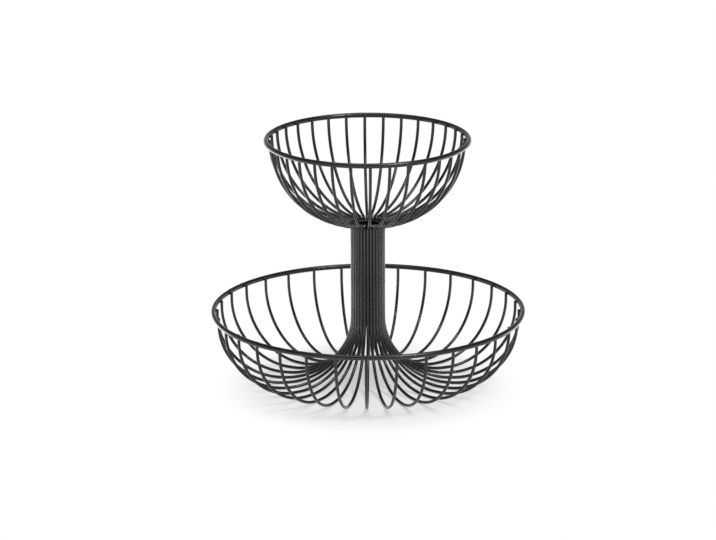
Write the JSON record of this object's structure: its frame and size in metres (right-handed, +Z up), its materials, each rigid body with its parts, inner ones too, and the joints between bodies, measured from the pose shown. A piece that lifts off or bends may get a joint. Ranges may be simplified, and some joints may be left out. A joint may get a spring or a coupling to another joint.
{
  "type": "tiered wire basket stand",
  "caption": "Two-tier black wire fruit stand: a wide rib bowl whose ribs rise as a slim column, with a smaller lift-off rib basket on top.",
  "frame": {"origin": "on the table, on the column's axis", "axes": "+Z up along the column, front faces -Y"},
  "size_m": [0.3292, 0.3292, 0.2629],
  "materials": {
    "coated_wire": "satin black powder coat on steel wire",
    "coated_tube": "satin black powder coat on steel tube"
  },
  "bodies": {
    "base": {"lower_rim": "coated_wire", "column_tube": "coated_tube", "lower_rib_01": "coated_wire", "lower_rib_02": "coated_wire", "lower_rib_03": "coated_wire", "lower_rib_04": "coated_wire", "lower_rib_05": "coated_wire", "lower_rib_06": "coated_wire", "lower_rib_07": "coated_wire", "lower_rib_08": "coated_wire", "lower_rib_09": "coated_wire", "lower_rib_10": "coated_wire", "lower_rib_11": "coated_wire", "lower_rib_12": "coated_wire", "lower_rib_13": "coated_wire", "lower_rib_14": "coated_wire", "lower_rib_15": "coated_wire", "lower_rib_16": "coated_wire", "lower_rib_17": "coated_wire", "lower_rib_18": "coated_wire", "lower_rib_19": "coated_wire", "lower_rib_20": "coated_wire", "lower_rib_21": "coated_wire", "lower_rib_22": "coated_wire", "lower_rib_23": "coated_wire", "lower_rib_24": "coated_wire", "lower_rib_25": "coated_wire", "lower_rib_26": "coated_wire", "lower_rib_27": "coated_wire", "lower_rib_28": "coated_wire", "lower_rib_29": "coated_wire", "lower_rib_30": "coated_wire", "lower_rib_31": "coated_wire", "lower_rib_32": "coated_wire"},
    "upper_basket": {"upper_rim": "coated_wire", "neck_sleeve": "coated_tube", "upper_rib_pair_01": "coated_wire", "upper_rib_pair_02": "coated_wire", "upper_rib_pair_03": "coated_wire", "upper_rib_pair_04": "coated_wire", "upper_rib_pair_05": "coated_wire", "upper_rib_pair_06": "coated_wire", "upper_rib_pair_07": "coated_wire", "upper_rib_pair_08": "coated_wire", "upper_rib_pair_09": "coated_wire", "upper_rib_pair_10": "coated_wire", "upper_rib_pair_11": "coated_wire", "upper_rib_pair_12": "coated_wire", "upper_rib_pair_13": "coated_wire", "upper_rib_pair_14": "coated_wire", "upper_rib_pair_15": "coated_wire", "upper_rib_pair_16": "coated_wire"}
  },
  "joints": [
    {"name": "basket_lift", "type": "slide", "parent": "base", "child": "upper_basket", "axis": [0, 0, 1], "range_m": [0, 0.05]}
  ]
}
